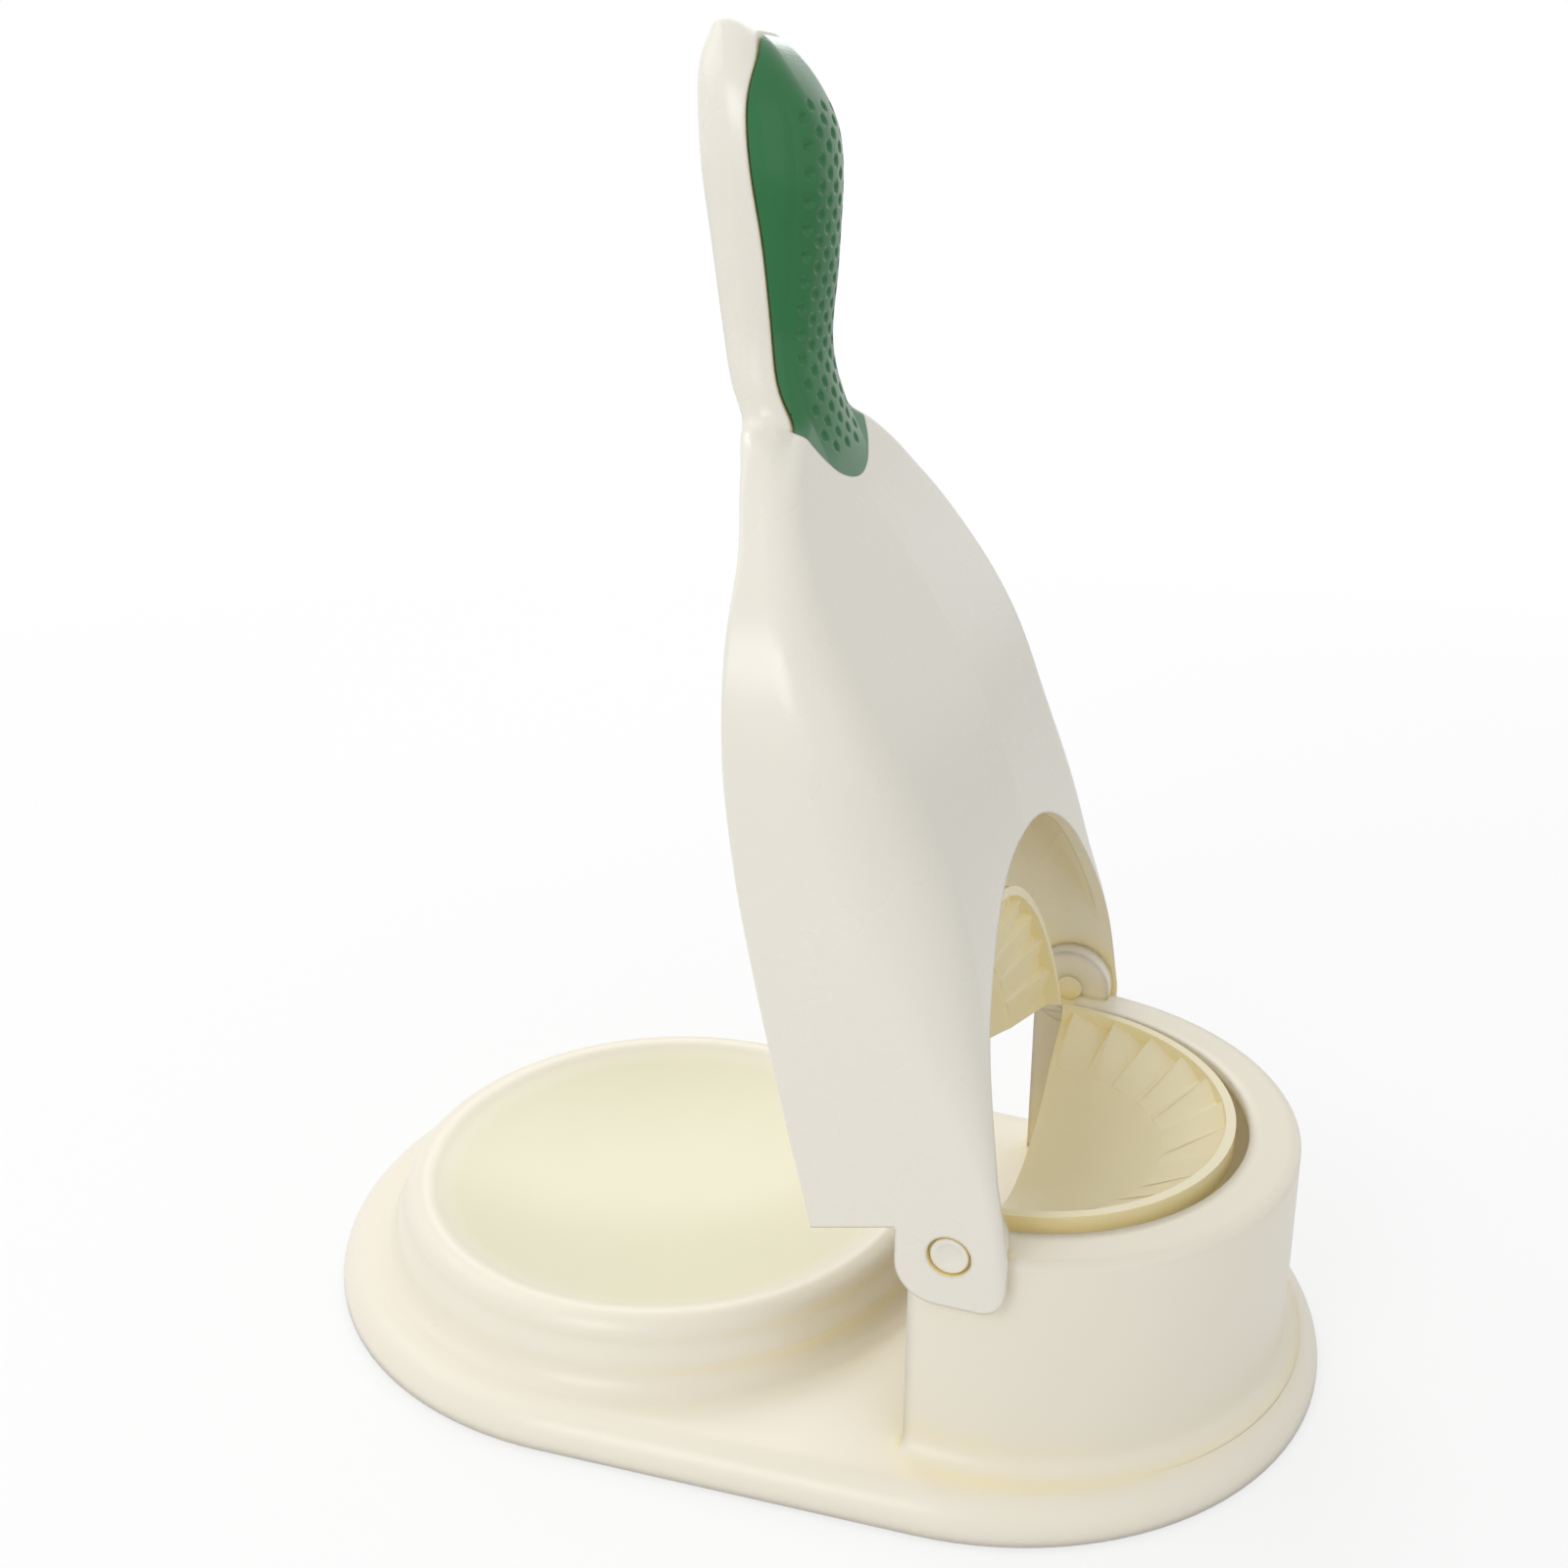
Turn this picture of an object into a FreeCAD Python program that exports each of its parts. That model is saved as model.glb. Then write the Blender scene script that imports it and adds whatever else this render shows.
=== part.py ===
"""Hand dumpling maker: a dish that presses wrappers, a two-part pleating mould and one swinging lever.

Millimetres, +Z up, origin on the table under the middle of the base.
The dish lies towards -X, the mould drum towards +X, and the lever turns on an axis along Y.
The lever is modelled standing up. Turned towards the dish it presses a wrapper,
turned the other way it folds the upper mould over the lower one.
"""
import FreeCAD, Part
import math
import os

# Base outline and shell
DISH_FLANGE = 12.0
DRUM_FLANGE = 13.8
END_SPACING = 72.7
PLATE_TOP = 7.6
SKIRT_ROUND = 6.4
SKIRT_LIFT = 0.8
BASE_WALL = 2.5
DISH_ROOT = 4.8
DRUM_ROOT = 3.5

# Dish, from the hood's edge to its lip and from there outwards
DISH_LIP_INSET = 6.5
DISH_LIP_Z = 19.7
DISH_CREST_STEP = 3.6
DISH_CREST_Z = 20.7
DISH_SHOULDER_STEP = 3.6
DISH_SHOULDER_Z = 16.4
DISH_WALL_STEP = 2.2
DISH_FLOOR_Z = 9.8
DISH_SKIN = 2.6

# Drum that holds the lower mould
PIVOT_OFFSET = 5.8
PIVOT_Z = 52.6
DRUM_TOP_Z = 51.0
DRUM_DRAFT = 0.8
DRUM_EDGE_ROUND = 1.5
DRUM_RING_GAP = 2.8
DRUM_RING_WIDTH = 9.8
DRUM_OPEN_X = 8.0
EAR_RADIUS = 9.0
EAR_THICKNESS = 5.0

# Ribs and feet under the base
RIB_WIDTH = 2.0
RIB_FOOT_Z = 2.4
RIB_RING_RADIUS = 26.0
RIB_COUNT = 6
FOOT_RADIUS = 6.0
FOOT_HEIGHT = 3.0
FOOT_SOCKET_WALL = 2.0
FOOT_INSET = 14.0
FOOT_ANGLE = 48.0

# Moulds, measured from the hinge axis
MOULD_SPLIT = 0.4
LIP_RADIUS = 42.2
LIP_WALL = 1.9
LIP_DEPTH = 3.2
MATING_GAP = 0.15
MOULD_WALL = 2.0
CONE_WIDTH = 13.7
BELLY_EDGE_DEPTH = 8.8
BELLY_DEPTH = 19.0
PLEAT_HEIGHT = 2.4
PLEAT_END_HEIGHT = 0.2
PLEAT_PITCH = 13.5
PLEATS = 13
PLEAT_SINK = 0.6
POST_RADIUS = 3.6
POST_SETBACK = 8.2
POST_ANGLE = 58.0
TONGUE_HALF_WIDTH = 14.0
TONGUE_DROP = 5.0
TONGUE_THICKNESS = 3.0
TONGUE_SETBACK = 14.2
TONGUE_LENGTH = 43.0
TONGUE_SCREW_INSET = 6.0
TONGUE_SCREW_SPREAD = 8.5

# Lever, measured from the pivot axis
HANDLE_LENGTH = 64.8
LEG_CLEARANCE = 0.6
LEVER_WALL = 2.3
HANDLE_HALF_WIDTH = 16.0
HANDLE_LEAN = 62.0
NECK_BLEND = 2.6
NECK_TUCK = 1.6
LEG_FRONT = 10.0
PRESS_ANGLE = 80.0
RIDGE_HEIGHT = 2.6
LEG_ROUND = 2.0
SHOULDER_ROUND = 16.0
HANDLE_ROUND = 11.0
RIM_ROUND = 0.7
ARCH_CLEARANCE = 2.6
TAB_DROP = 10.2
TAB_FRONT_ROUND = 4.5
TAB_BACK_ROUND = 7.5
LEG_STEP_RISE = 3.8
LEG_STEP_BACK = 9.7
PIN_RADIUS = 2.9
PIN_FIT = 0.05
PIN_HEAD_RADIUS = 3.4
PIN_HEAD_HEIGHT = 1.0
PIN_HEAD_FIT = 0.25
PIN_RING_GAP = 0.6
PIN_RECESS = 0.4
PIN_DIMPLE_RADIUS = 2.5
PIN_DIMPLE_DEPTH = 0.7
GRIP_WALL = 2.6
GRIP_SEAM = 0.4

# Press plate, measured where it meets the dish
WRAPPER_GAP = 2.4
PRESS_EDGE_MARGIN = 8.2
PRESS_EDGE_LIFT = 1.6
PRESS_PLATE_WALL = 2.2
PRESS_SKIRT_DRAFT = 0.8
PRESS_FLANGE_Z = 27.2
PRESS_FLANGE_FIT = 1.0
LUG_INSET = 4.4
LUG_RADIUS = 3.6
LUG_ANGLES = (90.0, 28.0, -28.0, -90.0)

# Screws
SCREW_RADIUS = 1.3
SCREW_FIT = 0.05
SCREW_LENGTH = 8.0
SCREW_HEAD_RADIUS = 2.2
SCREW_HEAD_HEIGHT = 1.5
SCREW_SLOT_WIDTH = 0.7
SCREW_SLOT_DEPTH = 0.7
OVERRUN = 1.0

# Lever side view as shares: height of the lever, whose hood ends at NECK_SHARE, and distance
# behind the pivot of HANDLE_LEAN
FRONT_SHARES = ((0.0, -0.161), (0.10, -0.105), (0.155, -0.06), (0.286, 0.032), (0.423, 0.195),
                (0.51, 0.358), (0.58, 0.516), (0.607, 0.578), (0.639, 0.632), (0.67, 0.682),
                (0.70, 0.715), (0.736, 0.732), (0.80, 0.712), (0.877, 0.702), (0.918, 0.722),
                (0.947, 0.766), (0.972, 0.823), (0.99, 0.895), (1.0, 0.96))
BACK_SHARES = ((0.0, 0.41), (0.113, 0.494), (0.214, 0.565), (0.32, 0.629), (0.405, 0.661),
               (0.50, 0.685), (0.564, 0.70), (0.607, 0.742), (0.639, 0.80), (0.669, 0.885),
               (0.70, 0.924), (0.736, 0.952), (0.813, 0.99), (0.892, 1.023), (0.947, 1.03),
               (0.982, 1.02), (1.0, 1.0))
HANDLE_WIDTH_SHARES = ((0.0, 0.97), (0.674, 0.97), (0.736, 0.885), (0.813, 0.94), (0.892, 1.0),
                       (0.93, 0.95), (0.957, 0.83), (0.978, 0.62), (0.992, 0.40), (1.0, 0.20))
SEAM_SHARES = ((0.60, 0.60), (0.617, 0.625), (0.634, 0.65), (0.651, 0.685), (0.669, 0.724),
               (0.693, 0.761), (0.726, 0.784), (0.767, 0.795), (0.82, 0.81), (0.854, 0.826),
               (0.901, 0.844), (0.939, 0.847), (0.962, 0.845), (0.989, 0.88), (1.02, 0.91))
SECTION_SHARES = (-0.055, 0.0, 0.06, 0.12, 0.18, 0.24, 0.30, 0.36, 0.42, 0.47, 0.51, 0.545, 0.575,
                  0.60, 0.62, 0.64, 0.655, 0.67, 0.69, 0.73, 0.78, 0.83, 0.88, 0.915, 0.94, 0.96,
                  0.975, 0.988, 1.0)
NECK_SHARE = 0.6776
TROUGH_SHARES = (0.70, 0.735, 0.78, 0.83, 0.88, 0.91, 0.935)
RIDGE_RISE_SHARES = (0.20, 0.38)
RIDGE_FADE_SHARES = (0.52, 0.64)
SHOULDER_FADE_SHARES = (0.04, 0.30)
CORNER_FADE_SHARES = (0.62, 0.71)
TUCK_RISE_SHARES = (0.52, 0.61)
TUCK_FADE_SHARES = (0.64, 0.70)
FRONT_ROUND_SHARE = 0.54
BACK_ROUND_SHARE = 0.44
SIDE_ROUND_SHARE = 0.88
GRIP_TIP_SHARES = (0.612, 0.66)
FRONT_WALL_SHARE = 1.2
FILLET_SHARE = 1 - math.sqrt(2) / 2
BELLY_WALL_SHARE = 0.8
PLEAT_PEAK_SHARE = 0.64

# Radii and places worked out from the sizes above
DRUM_HOLE_RADIUS = LIP_RADIUS + DRUM_RING_GAP
DRUM_RADIUS = DRUM_HOLE_RADIUS + DRUM_RING_WIDTH
DRUM_END_RADIUS = DRUM_RADIUS + DRUM_FLANGE
ARCH_RADIUS = DRUM_RADIUS + ARCH_CLEARANCE
LEG_INNER_Y = DRUM_RADIUS + LEG_CLEARANCE
HOOD_RADIUS = LEG_INNER_Y + LEVER_WALL
DISH_LIP_RADIUS = HOOD_RADIUS - DISH_LIP_INSET
DISH_CREST_RADIUS = DISH_LIP_RADIUS + DISH_CREST_STEP
DISH_SHOULDER_RADIUS = DISH_CREST_RADIUS + DISH_SHOULDER_STEP
DISH_WALL_RADIUS = DISH_SHOULDER_RADIUS + DISH_WALL_STEP
DISH_END_RADIUS = DISH_WALL_RADIUS + DISH_FLANGE
BELLY_RADIUS = LIP_RADIUS - CONE_WIDTH
POST_CIRCLE = LIP_RADIUS - POST_SETBACK
TONGUE_START = LIP_RADIUS - TONGUE_SETBACK
TONGUE_END = TONGUE_START + TONGUE_LENGTH
TONGUE_SCREW_REACH = TONGUE_END - TONGUE_SCREW_INSET
PRESS_PLATE_RADIUS = DISH_LIP_RADIUS - PRESS_EDGE_MARGIN
PRESS_FLANGE_RADIUS = HOOD_RADIUS - LEVER_WALL - PRESS_FLANGE_FIT
LUG_CIRCLE = PRESS_FLANGE_RADIUS - LUG_INSET
BASE_LENGTH = DISH_END_RADIUS + END_SPACING + DRUM_END_RADIUS
DISH_X = DISH_END_RADIUS - BASE_LENGTH / 2
DRUM_END_X = DISH_X + END_SPACING
PIVOT_X = DRUM_END_X + PIVOT_OFFSET
EAR_INNER_Y = DRUM_RADIUS - EAR_THICKNESS
HOOD_CENTRE_RISE = PIVOT_X - DISH_X
HOOD_TOP_RISE = HOOD_CENTRE_RISE + HOOD_RADIUS
LEVER_RISE = HOOD_TOP_RISE + HANDLE_LENGTH
OPEN_REACH = BASE_LENGTH
AXIS_Y = FreeCAD.Vector(0, 1, 0)
AXIS_Z = FreeCAD.Vector(0, 0, 1)
PIVOT = FreeCAD.Vector(PIVOT_X, 0, PIVOT_Z)


def vec(x, y, z):
    return FreeCAD.Vector(x, y, z)


def line(start, end):
    return Part.LineSegment(start, end).toShape()


def arc(start, middle, end):
    return Part.Arc(start, middle, end).toShape()


def joined(first, *others):
    """One clean solid from overlapping ones."""
    return first.multiFuse(list(others)).removeSplitter()


def turned(shape, angle):
    """The shape turned about the pivot axis; a positive angle takes +Z towards +X."""
    copy = shape.copy()
    copy.rotate(PIVOT, AXIS_Y, angle)
    return copy


def rod_y(radius, start_y, end_y, x, z):
    return Part.makeCylinder(radius, end_y - start_y, vec(x, start_y, z), AXIS_Y)


def rod_z(radius, start_z, end_z, x, y):
    return Part.makeCylinder(radius, end_z - start_z, vec(x, y, start_z), AXIS_Z)


def box(low, high):
    return Part.makeBox(high[0] - low[0], high[1] - low[1], high[2] - low[2], vec(*low))


def revolved(edges, centre_x, angle=360, start=0):
    """A closed profile of (radius, z) edges turned about the vertical line at centre_x."""
    face = Part.Face(Part.Wire(edges))
    solid = face.revolve(vec(0, 0, 0), AXIS_Z, angle)
    solid.rotate(vec(0, 0, 0), AXIS_Z, start)
    solid.translate(vec(centre_x, 0, 0))
    return solid


def profile(points):
    """Edges through (radius, z) points; a point written with 'arc' first is the middle of an arc."""
    edges = []
    previous = points[0]
    middle = None
    for point in list(points[1:]) + [points[0]]:
        if point[0] == "arc":
            middle = point
            continue
        start = vec(previous[0], 0, previous[1])
        end = vec(point[0], 0, point[1])
        if middle:
            edges.append(arc(start, vec(middle[1], 0, middle[2]), end))
        else:
            edges.append(line(start, end))
        previous = point
        middle = None
    return edges


def between(points, place):
    """Smooth value through (place, value) points without overshoot, level at the ends."""
    if place <= points[0][0]:
        return points[0][1]
    if place >= points[-1][0]:
        return points[-1][1]
    slopes = [(b[1] - a[1]) / (b[0] - a[0]) for a, b in zip(points, points[1:])]
    tangents = [slopes[0]]
    for left, right in zip(slopes, slopes[1:]):
        same_way = left * right > 0
        tangents.append(2 * left * right / (left + right) if same_way else 0)
    tangents.append(slopes[-1])
    for index, (a, b) in enumerate(zip(points, points[1:])):
        if place <= b[0]:
            span = b[0] - a[0]
            t = (place - a[0]) / span
            rise = t * t * (3 - 2 * t)
            leave = t * (1 - t) * (1 - t) * span * tangents[index]
            arrive = t * t * (t - 1) * span * tangents[index + 1]
            return a[1] + (b[1] - a[1]) * rise + leave + arrive


def fade(limits, place):
    """0 below the first limit, 1 above the second, smooth between."""
    t = min(max((place - limits[0]) / (limits[1] - limits[0]), 0), 1)
    return t * t * (3 - 2 * t)


# Base

def tangent_outline(inset, z):
    """The base outline moved inwards: two end circles joined by their common tangents."""
    big = DISH_END_RADIUS - inset
    small = DRUM_END_RADIUS - inset
    lean = math.asin((big - small) / END_SPACING)
    across = math.cos(lean)
    along = math.sin(lean)

    def at(centre_x, radius, side):
        return vec(centre_x + radius * along, side * radius * across, z)

    dish_left, dish_right = at(DISH_X, big, 1), at(DISH_X, big, -1)
    drum_left, drum_right = at(DRUM_END_X, small, 1), at(DRUM_END_X, small, -1)
    return Part.Wire([
        arc(dish_left, vec(DISH_X - big, 0, z), dish_right),
        line(dish_right, drum_right),
        arc(drum_right, vec(DRUM_END_X + small, 0, z), drum_left),
        line(drum_left, dish_left),
    ])


def skirt_solid(inset, bottom_z, top_z, rounding):
    """The plate with its rounded skirt edge, as a solid from bottom_z to top_z."""
    block = Part.Face(tangent_outline(inset, bottom_z)).extrude(vec(0, 0, top_z - bottom_z))
    top_edges = [edge for edge in block.Edges
                 if min(vertex.Point.z for vertex in edge.Vertexes) > (bottom_z + top_z) / 2]
    return block.makeFillet(rounding, top_edges)


def bowl_z(radius, low_z, edge_radius, edge_z):
    """Height at a radius on the round bowl that rises from low_z to edge_z."""
    sag = edge_z - low_z
    ball = (edge_radius ** 2 + sag ** 2) / (2 * sag)
    return low_z + ball - math.sqrt(ball ** 2 - radius ** 2)


def dish_solid():
    """Everything inside the dish's outer faces, down into the plate."""
    flare = DISH_WALL_RADIUS + DISH_ROOT
    half = DISH_LIP_RADIUS / 2
    return revolved(profile([
        (0, PLATE_TOP - OVERRUN),
        (flare, PLATE_TOP - OVERRUN),
        (flare, PLATE_TOP),
        ("arc", DISH_WALL_RADIUS + DISH_ROOT * FILLET_SHARE, PLATE_TOP + DISH_ROOT * FILLET_SHARE),
        (DISH_WALL_RADIUS, PLATE_TOP + DISH_ROOT),
        (DISH_SHOULDER_RADIUS, DISH_SHOULDER_Z),
        ("arc", DISH_CREST_RADIUS, DISH_CREST_Z),
        (DISH_LIP_RADIUS, DISH_LIP_Z),
        ("arc", half, bowl_z(half, DISH_FLOOR_Z, DISH_LIP_RADIUS, DISH_LIP_Z)),
        (0, DISH_FLOOR_Z),
    ]), DISH_X)


def dish_hollow():
    """The space under the dish."""
    half = DISH_LIP_RADIUS / 2
    floor_z = DISH_FLOOR_Z - DISH_SKIN
    edge_z = DISH_LIP_Z - DISH_SKIN
    return revolved(profile([
        (0, -OVERRUN),
        (DISH_WALL_RADIUS - BASE_WALL, -OVERRUN),
        (DISH_WALL_RADIUS - BASE_WALL, PLATE_TOP),
        (DISH_SHOULDER_RADIUS - BASE_WALL, DISH_SHOULDER_Z - BASE_WALL / 2),
        (DISH_CREST_RADIUS, DISH_CREST_Z - BASE_WALL),
        (DISH_LIP_RADIUS, edge_z),
        ("arc", half, bowl_z(half, floor_z, DISH_LIP_RADIUS, edge_z)),
        (0, floor_z),
    ]), DISH_X)


def drum_solid():
    """The C-shaped wall with its top ring, standing on the plate and open towards the dish."""
    spread = (DRUM_TOP_Z - PLATE_TOP) * math.tan(math.radians(DRUM_DRAFT))
    foot_radius = DRUM_RADIUS + spread
    inner = DRUM_RADIUS - BASE_WALL
    wall = revolved(profile([
        (foot_radius - BASE_WALL, PLATE_TOP - OVERRUN),
        (foot_radius + DRUM_ROOT, PLATE_TOP - OVERRUN),
        (foot_radius + DRUM_ROOT, PLATE_TOP),
        ("arc", foot_radius + DRUM_ROOT * FILLET_SHARE, PLATE_TOP + DRUM_ROOT * FILLET_SHARE),
        (foot_radius, PLATE_TOP + DRUM_ROOT),
        (DRUM_RADIUS, DRUM_TOP_Z - DRUM_EDGE_ROUND),
        ("arc", DRUM_RADIUS - DRUM_EDGE_ROUND * FILLET_SHARE, DRUM_TOP_Z - DRUM_EDGE_ROUND * FILLET_SHARE),
        (DRUM_RADIUS - DRUM_EDGE_ROUND, DRUM_TOP_Z),
        (DRUM_HOLE_RADIUS, DRUM_TOP_Z),
        (DRUM_HOLE_RADIUS, DRUM_TOP_Z - BASE_WALL),
        (inner, DRUM_TOP_Z - BASE_WALL),
    ]), PIVOT_X)
    open_side = box((PIVOT_X - OPEN_REACH, -OPEN_REACH, 0),
                    (PIVOT_X - DRUM_OPEN_X, OPEN_REACH, DRUM_TOP_Z + OVERRUN))
    ears = [rod_y(EAR_RADIUS, EAR_INNER_Y, DRUM_RADIUS, PIVOT_X, PIVOT_Z),
            rod_y(EAR_RADIUS, -DRUM_RADIUS, -EAR_INNER_Y, PIVOT_X, PIVOT_Z)]
    return joined(wall.cut(open_side), *ears)


def foot_places():
    """Centres of the four feet, two by each rounded end."""
    places = []
    for centre_x, radius, heading in ((DISH_X, DISH_END_RADIUS, -1), (DRUM_END_X, DRUM_END_RADIUS, 1)):
        reach = radius - FOOT_INSET
        for side in (-1, 1):
            turn = math.radians(FOOT_ANGLE)
            places.append((centre_x + heading * reach * math.cos(turn), side * reach * math.sin(turn)))
    return places


def post_places():
    """Centres of the lower mould's three posts."""
    return [(PIVOT_X + POST_CIRCLE * math.cos(math.radians(turn)),
             POST_CIRCLE * math.sin(math.radians(turn))) for turn in (-POST_ANGLE, 0, POST_ANGLE)]


def rib_solids():
    """Stiffening under the dish: a ring and spokes, all cut to the hollow afterwards."""
    top = DISH_CREST_Z
    ring = rod_z(RIB_RING_RADIUS, RIB_FOOT_Z, top, DISH_X, 0)
    ring = ring.cut(rod_z(RIB_RING_RADIUS - RIB_WIDTH, RIB_FOOT_Z, top, DISH_X, 0))
    ribs = [ring]
    for index in range(RIB_COUNT):
        spoke = box((DISH_X, -RIB_WIDTH / 2, RIB_FOOT_Z), (DISH_X + DISH_WALL_RADIUS, RIB_WIDTH / 2, top))
        spoke.rotate(vec(DISH_X, 0, 0), AXIS_Z, (index + 1 / 2) * 360 / RIB_COUNT)
        ribs.append(spoke)
    return ribs


def base_shell():
    """One moulding: skirted plate, dish and drum, open underneath."""
    outside = joined(skirt_solid(0, SKIRT_LIFT, PLATE_TOP, SKIRT_ROUND), dish_solid(), drum_solid())
    hollow = joined(skirt_solid(BASE_WALL, -OVERRUN, PLATE_TOP - BASE_WALL, SKIRT_ROUND - BASE_WALL),
                    dish_hollow())
    shell = outside.cut(hollow)
    socket_radius = FOOT_RADIUS + FOOT_SOCKET_WALL
    stiffeners = rib_solids()
    stiffeners += [rod_z(socket_radius, SKIRT_LIFT, PLATE_TOP, x, y) for x, y in foot_places()]
    shell = joined(shell, *[piece.common(hollow) for piece in stiffeners])
    cuts = [rod_z(FOOT_RADIUS, 0, FOOT_HEIGHT, x, y) for x, y in foot_places()]
    cuts += [rod_z(SCREW_RADIUS + SCREW_FIT, 0, PLATE_TOP + OVERRUN, x, y) for x, y in post_places()]
    cuts.append(rod_y(PIN_RADIUS, -OPEN_REACH, OPEN_REACH, PIVOT_X, PIVOT_Z))
    return shell.cut(Part.makeCompound(cuts))


def foot(x, y):
    """A rubber foot with a rounded lower edge."""
    pad = rod_z(FOOT_RADIUS, 0, FOOT_HEIGHT, x, y)
    lower = [edge for edge in pad.Edges if edge.BoundBox.ZMax < SKIRT_LIFT]
    return pad.makeFillet(SKIRT_LIFT / 2, lower)


# Moulds

def mould_profile(grow):
    """Mould surface from under the lip to the axis, moved outwards by a wall: cone, flank and bottom."""
    cone_top = -LIP_DEPTH - grow
    edge = BELLY_RADIUS + grow * BELLY_WALL_SHARE
    edge_w = -BELLY_EDGE_DEPTH - grow
    bottom = -BELLY_DEPTH - grow
    half = edge / 2
    return [(LIP_RADIUS - LIP_WALL, cone_top), (edge, edge_w),
            ("arc", half, bowl_z(half, bottom, edge, edge_w)), (0, bottom)]


def raised(points):
    """Profile points moved from the hinge axis to their real height."""
    return [(p[0], p[1], p[2] + PIVOT_Z) if p[0] == "arc" else (p[0], p[1] + PIVOT_Z) for p in points]


def pleat(turn):
    """One pleat on the cone, steeper on one side, full at the lip and running out at the belly."""
    wires = []
    for radius, cone_w, rise in ((LIP_RADIUS - LIP_WALL / 2, -LIP_DEPTH, PLEAT_HEIGHT),
                                 (BELLY_RADIUS, -BELLY_EDGE_DEPTH, PLEAT_END_HEIGHT)):
        half = radius * math.tan(math.radians(PLEAT_PITCH) / 2)
        foot_z = PIVOT_Z + cone_w
        peak = half * (2 * PLEAT_PEAK_SHARE - 1)
        corners = [vec(radius, -half, foot_z - PLEAT_SINK), vec(radius, half, foot_z - PLEAT_SINK),
                   vec(radius, half, foot_z), vec(radius, peak, foot_z + rise), vec(radius, -half, foot_z)]
        wires.append(Part.makePolygon(corners + corners[:1]))
    tooth = Part.makeLoft(wires, True, True)
    tooth.rotate(vec(0, 0, 0), AXIS_Z, turn)
    tooth.translate(vec(PIVOT_X, 0, 0))
    return tooth


def mould_half(carriers):
    """One half mould opening upwards on the drum's side of the hinge, with what carries it."""
    lip_top = -MATING_GAP
    inside = mould_profile(0)
    outside = mould_profile(MOULD_WALL)
    wall = revolved(profile(raised(
        [(LIP_RADIUS, lip_top), (LIP_RADIUS - LIP_WALL, lip_top)] + inside + outside[::-1][:-1]
        + [(LIP_RADIUS, outside[0][1])])), PIVOT_X)
    bowl = revolved(profile(raised([(0, 0), (LIP_RADIUS - LIP_WALL, 0)] + inside)), PIVOT_X)
    pleats = [pleat((index - (PLEATS - 1) / 2) * PLEAT_PITCH) for index in range(PLEATS)]
    body = joined(wall, *[carrier.cut(bowl) for carrier in carriers])
    own_side = box((PIVOT_X + MOULD_SPLIT, -OPEN_REACH, 0), (PIVOT_X + OPEN_REACH, OPEN_REACH, OPEN_REACH))
    return joined(body, *pleats).common(own_side)


def lower_mould():
    """The fixed half on three posts that stand on the plate."""
    top_z = PIVOT_Z - LIP_DEPTH
    posts = [rod_z(POST_RADIUS, PLATE_TOP, top_z, x, y) for x, y in post_places()]
    pilots = [rod_z(SCREW_RADIUS + SCREW_FIT, PLATE_TOP, PLATE_TOP + SCREW_LENGTH, x, y)
              for x, y in post_places()]
    return mould_half(posts).cut(Part.makeCompound(pilots))


def upper_mould_open():
    """The moving half lying open beside the lower one, with the tongue that the lever carries it by."""
    top_z = PIVOT_Z - TONGUE_DROP
    tongue = box((PIVOT_X + TONGUE_START, -TONGUE_HALF_WIDTH, top_z - TONGUE_THICKNESS),
                 (PIVOT_X + TONGUE_END, TONGUE_HALF_WIDTH, top_z))
    holes = [rod_z(SCREW_RADIUS + SCREW_FIT, top_z - TONGUE_THICKNESS - OVERRUN, top_z + OVERRUN,
                   PIVOT_X + TONGUE_SCREW_REACH, side * TONGUE_SCREW_SPREAD) for side in (-1, 1)]
    half = mould_half([tongue]).cut(Part.makeCompound(holes))
    half.rotate(PIVOT, AXIS_Z, 180)
    return half


def tongue_screw_places():
    """Tongue screw centres with the upper mould lying open."""
    return [(PIVOT_X - TONGUE_SCREW_REACH, side * TONGUE_SCREW_SPREAD) for side in (-1, 1)]


# Lever

def share_at(height):
    """Share of the lever's height: the hood up to NECK_SHARE, then the handle."""
    if height <= HOOD_TOP_RISE:
        return NECK_SHARE * height / HOOD_TOP_RISE
    return NECK_SHARE + (1 - NECK_SHARE) * (height - HOOD_TOP_RISE) / HANDLE_LENGTH


def height_at(share):
    """Height above the pivot at a share of the lever."""
    if share <= NECK_SHARE:
        return HOOD_TOP_RISE * share / NECK_SHARE
    return HOOD_TOP_RISE + HANDLE_LENGTH * (share - NECK_SHARE) / (1 - NECK_SHARE)


def lever_front(height):
    return -HANDLE_LEAN * between(FRONT_SHARES, share_at(height))


def lever_back(height):
    """Back edge: bowed over the dish, then curving into the handle."""
    return -HANDLE_LEAN * between(BACK_SHARES, share_at(height))


def lever_half_width(height):
    """Straight legs, a round hood that matches the dish, and a waisted handle."""
    over = max(height - HOOD_CENTRE_RISE, 0)
    hood = math.sqrt(max(HOOD_RADIUS ** 2 - over ** 2, 0))
    handle = HANDLE_HALF_WIDTH * between(HANDLE_WIDTH_SHARES, share_at(height))
    if over == 0:
        return HOOD_RADIUS
    blend = NECK_BLEND * fade((HOOD_CENTRE_RISE, HOOD_TOP_RISE), height)
    blend *= 1 - fade((HOOD_TOP_RISE, LEVER_RISE), height)
    share = share_at(height)
    tuck = NECK_TUCK * fade(TUCK_RISE_SHARES, share) * (1 - fade(TUCK_FADE_SHARES, share))
    return (hood + handle) / 2 + math.hypot((hood - handle) / 2, blend) - tuck


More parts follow.
